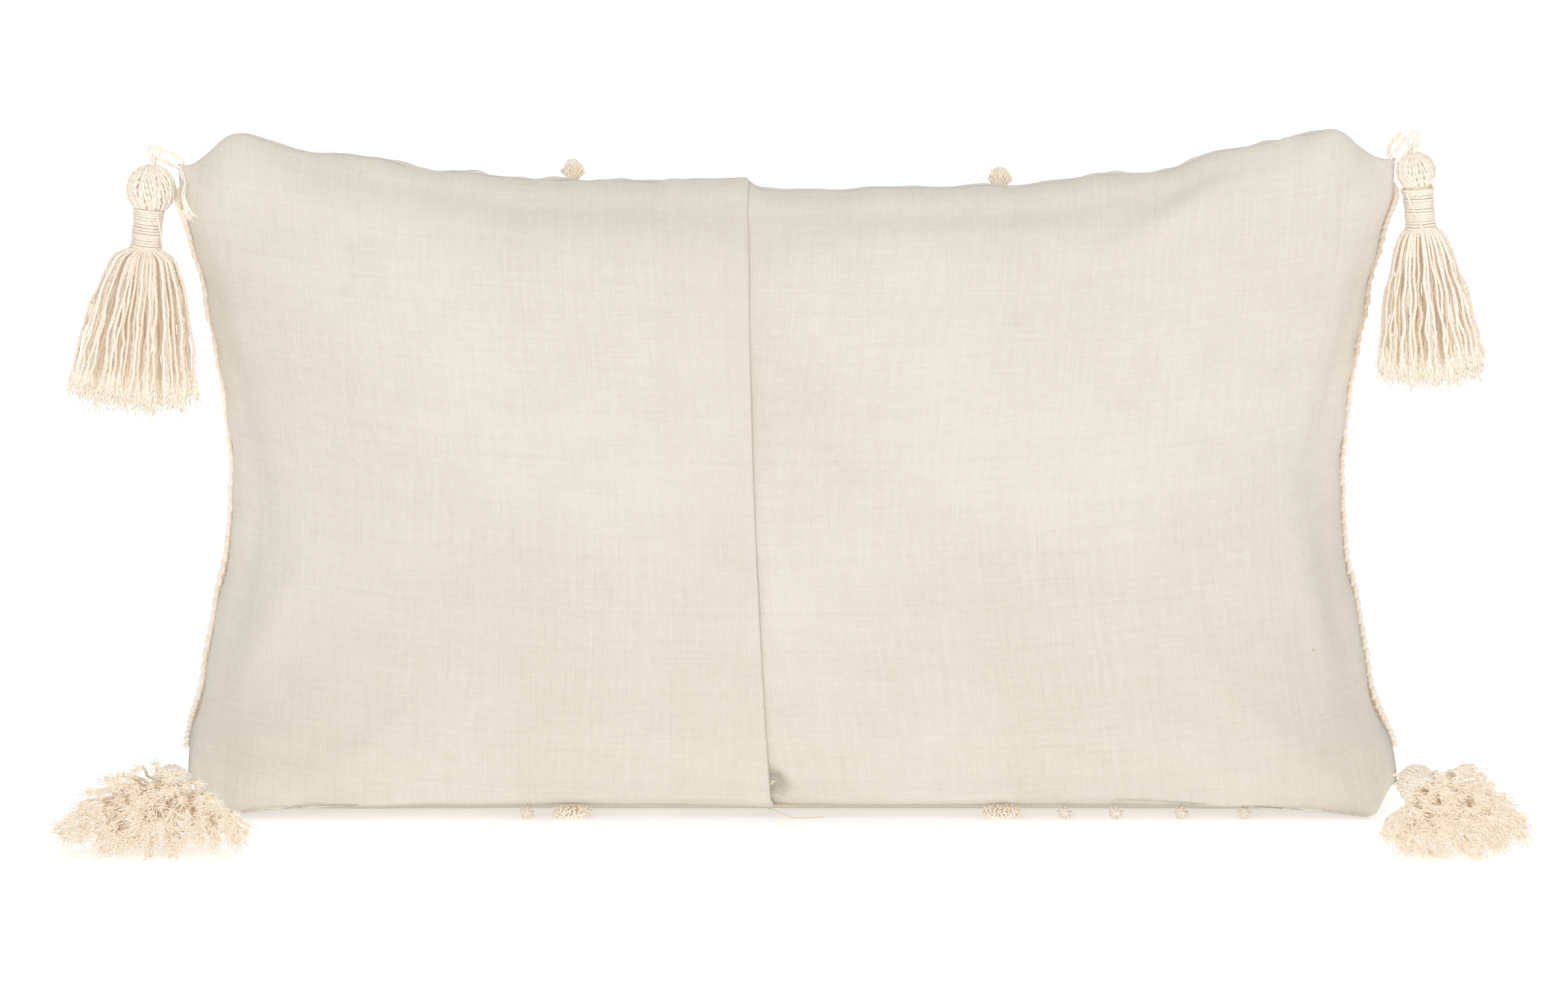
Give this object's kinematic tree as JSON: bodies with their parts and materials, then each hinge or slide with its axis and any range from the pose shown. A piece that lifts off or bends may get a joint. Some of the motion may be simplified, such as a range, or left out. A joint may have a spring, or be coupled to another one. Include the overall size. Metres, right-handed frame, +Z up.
{
  "type": "throw pillow",
  "caption": "Lumbar throw pillow with an envelope-closure woven cover over a filled insert, tufts on the front and a hinged yarn tassel at each corner.",
  "frame": {"origin": "on the surface the pillow stands on, under the middle of its length and in its seam plane", "axes": "+X along the pillow's long edge, -Y out of the side with the envelope flap, +Z up"},
  "size_m": [0.7083, 0.2347, 0.3361],
  "materials": {
    "woven_cotton": "woven natural cotton, plain weave",
    "tassel_yarn": "loosely twisted cream cotton yarn",
    "seam_thread": "cream overlock thread",
    "insert_cloth": "white plain lining cloth",
    "wadding": "white loose fibre filling"
  },
  "bodies": {
    "cushion": {"front_panel": "woven_cotton", "back_flap_panel": "woven_cotton", "back_under_panel": "woven_cotton", "flap_hem": "woven_cotton", "under_panel_hem": "woven_cotton", "overlocked_seams": "seam_thread", "left_braid": "tassel_yarn", "right_braid": "tassel_yarn", "cut_tufts_left": "tassel_yarn", "cut_tufts_right": "tassel_yarn", "loop_tufts": "tassel_yarn", "loop_bands": "tassel_yarn", "insert_front_cloth": "insert_cloth", "insert_back_cloth": "insert_cloth", "insert_filling": "wadding", "corner_stitch_upper_left": "tassel_yarn", "corner_stitch_upper_right": "tassel_yarn", "corner_stitch_lower_left": "tassel_yarn", "corner_stitch_lower_right": "tassel_yarn", "tie_tail_upper_left": "tassel_yarn", "tie_tail_upper_right": "tassel_yarn"},
    "loop_upper_left": {"tie_loop_upper_left": "tassel_yarn"},
    "tassel_upper_left": {"tassel_eye_upper_left": "tassel_yarn", "tassel_head_upper_left": "tassel_yarn", "neck_binding_upper_left": "tassel_yarn", "tassel_skirt_upper_left": "tassel_yarn"},
    "loop_upper_right": {"tie_loop_upper_right": "tassel_yarn"},
    "tassel_upper_right": {"tassel_eye_upper_right": "tassel_yarn", "tassel_head_upper_right": "tassel_yarn", "neck_binding_upper_right": "tassel_yarn", "tassel_skirt_upper_right": "tassel_yarn"},
    "loop_lower_left": {"tie_loop_lower_left": "tassel_yarn"},
    "tassel_lower_left": {"tassel_eye_lower_left": "tassel_yarn", "tassel_head_lower_left": "tassel_yarn", "neck_binding_lower_left": "tassel_yarn", "tassel_skirt_lower_left": "tassel_yarn"},
    "loop_lower_right": {"tie_loop_lower_right": "tassel_yarn"},
    "tassel_lower_right": {"tassel_eye_lower_right": "tassel_yarn", "tassel_head_lower_right": "tassel_yarn", "neck_binding_lower_right": "tassel_yarn", "tassel_skirt_lower_right": "tassel_yarn"}
  },
  "joints": [
    {"name": "swing_upper_left", "type": "hinge", "parent": "cushion", "child": "loop_upper_left", "pos_m": [-0.309, 0, 0.3243], "axis": [0, 1, 0], "range_deg": [-1.5, 80]},
    {"name": "sway_upper_left", "type": "hinge", "parent": "loop_upper_left", "child": "tassel_upper_left", "pos_m": [-0.30952, 0, 0.31913], "axis": [0.9951, 0, -0.0993], "range_deg": [-50, 50]},
    {"name": "swing_upper_right", "type": "hinge", "parent": "cushion", "child": "loop_upper_right", "pos_m": [0.306, 0, 0.3308], "axis": [0, 1, 0], "range_deg": [-80, 1.5]},
    {"name": "sway_upper_right", "type": "hinge", "parent": "loop_upper_right", "child": "tassel_upper_right", "pos_m": [0.30652, 0, 0.32563], "axis": [0.9951, 0, 0.0993], "range_deg": [-50, 50]},
    {"name": "turn_lower_left", "type": "hinge", "parent": "cushion", "child": "loop_lower_left", "pos_m": [-0.298, -0.05, 0.022], "axis": [0, 0, 1], "range_deg": [-75, 15]},
    {"name": "lift_lower_left", "type": "hinge", "parent": "loop_lower_left", "child": "tassel_lower_left", "pos_m": [-0.29818, -0.0552, 0.022], "axis": [-0.9994, 0.0349, 0], "range_deg": [0, 50]},
    {"name": "turn_lower_right", "type": "hinge", "parent": "cushion", "child": "loop_lower_right", "pos_m": [0.303, -0.05, 0.022], "axis": [0, 0, 1], "range_deg": [-15, 75]},
    {"name": "lift_lower_right", "type": "hinge", "parent": "loop_lower_right", "child": "tassel_lower_right", "pos_m": [0.3039, -0.05512, 0.022], "axis": [-0.9848, -0.1736, 0], "range_deg": [0, 50]}
  ]
}
